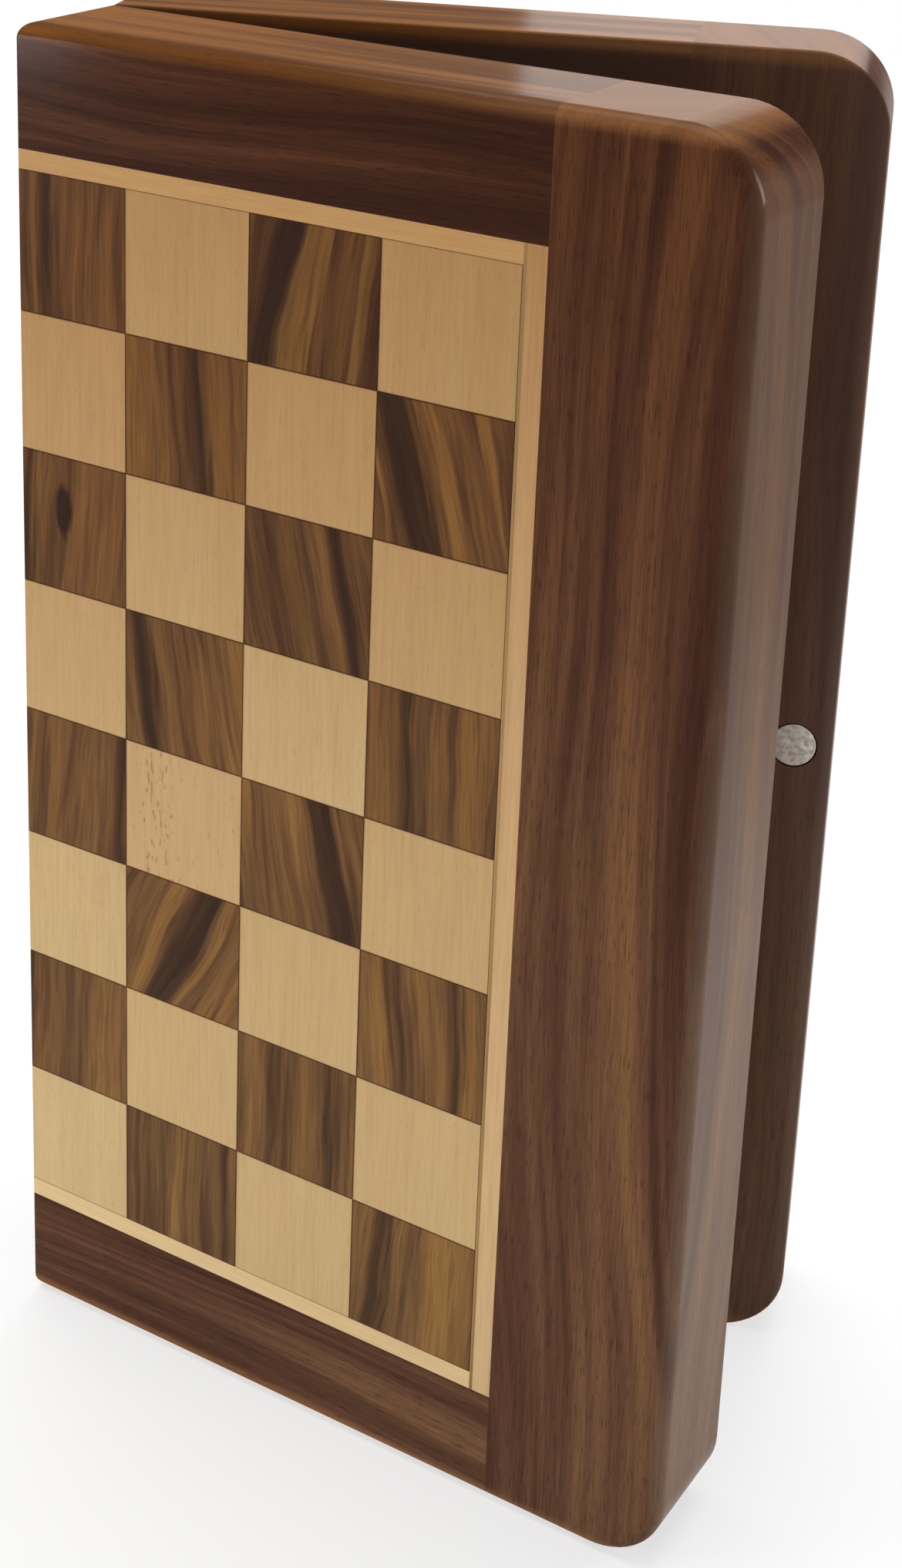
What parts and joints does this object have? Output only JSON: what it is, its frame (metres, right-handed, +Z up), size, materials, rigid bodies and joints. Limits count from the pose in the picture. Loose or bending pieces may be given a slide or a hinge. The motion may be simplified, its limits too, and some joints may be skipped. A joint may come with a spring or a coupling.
{
  "type": "magnetic chess set",
  "caption": "Folding wooden box of two hinged halves whose backs form a chessboard, held shut by disc magnets, with turned magnetic chess pieces lying in velvet trays inside.",
  "frame": {"origin": "middle of the footprint of the open set, on the ground", "axes": "+Z up along the board, the front half lies along +X from the fold with its squares facing -Y, and the rear half opens towards +Y"},
  "size_m": [0.1746, 0.1114, 0.3048],
  "materials": {
    "frame_wood": "satin lacquered rosewood, brown with darker streaks",
    "dark_square_wood": "satin lacquered rosewood",
    "pale_square_wood": "satin lacquered maple",
    "pale_strip_wood": "satin lacquered maple",
    "line_wood": "dark inlay line, satin",
    "dowel_wood": "bare beech",
    "core_board": "bare plywood",
    "sheet_steel": "bare rolled steel",
    "velvet": "dark green velvet over foam",
    "magnet_nickel": "nickel-plated, dull",
    "green_felt": "wool felt",
    "hinge_brass": "satin brass",
    "dark_piece_wood": "satin lacquered rosewood",
    "pale_piece_wood": "satin lacquered boxwood"
  },
  "bodies": {
    "front_half": {"dark_base_magnets": "magnet_nickel", "dark_bishops": "dark_piece_wood", "dark_felt_pads": "green_felt", "dark_king": "dark_piece_wood", "dark_knights": "dark_piece_wood", "dark_pawns": "dark_piece_wood", "dark_queen": "dark_piece_wood", "dark_rooks": "dark_piece_wood", "front_bottom_rail": "frame_wood", "front_catch_magnet": "magnet_nickel", "front_core_panel": "core_board", "front_dark_line": "line_wood", "front_dark_squares": "dark_square_wood", "front_dowels": "dowel_wood", "front_fold_rail": "frame_wood", "front_hinge_screws": "hinge_brass", "front_light_squares": "pale_square_wood", "front_long_rail": "frame_wood", "front_pale_strips": "pale_strip_wood", "front_steel_sheet": "sheet_steel", "front_top_rail": "frame_wood", "front_tray": "velvet", "lower_hinge_front_leaf": "hinge_brass", "lower_hinge_pin": "hinge_brass", "upper_hinge_front_leaf": "hinge_brass", "upper_hinge_pin": "hinge_brass"},
    "rear_half": {"light_base_magnets": "magnet_nickel", "light_bishops": "pale_piece_wood", "light_felt_pads": "green_felt", "light_king": "pale_piece_wood", "light_knights": "pale_piece_wood", "light_pawns": "pale_piece_wood", "light_queen": "pale_piece_wood", "light_rooks": "pale_piece_wood", "lower_hinge_rear_leaf": "hinge_brass", "rear_bottom_rail": "frame_wood", "rear_catch_magnet": "magnet_nickel", "rear_core_panel": "core_board", "rear_dark_line": "line_wood", "rear_dark_squares": "dark_square_wood", "rear_dowels": "dowel_wood", "rear_fold_rail": "frame_wood", "rear_hinge_screws": "hinge_brass", "rear_light_squares": "pale_square_wood", "rear_long_rail": "frame_wood", "rear_pale_strips": "pale_strip_wood", "rear_steel_sheet": "sheet_steel", "rear_top_rail": "frame_wood", "rear_tray": "velvet", "upper_hinge_rear_leaf": "hinge_brass"}
  },
  "joints": [
    {"name": "fold", "type": "hinge", "parent": "front_half", "child": "rear_half", "pos_m": [-0.07759, -0.02688, 0.1524], "axis": [0, 0, 1], "range_deg": [-20, 160]}
  ]
}
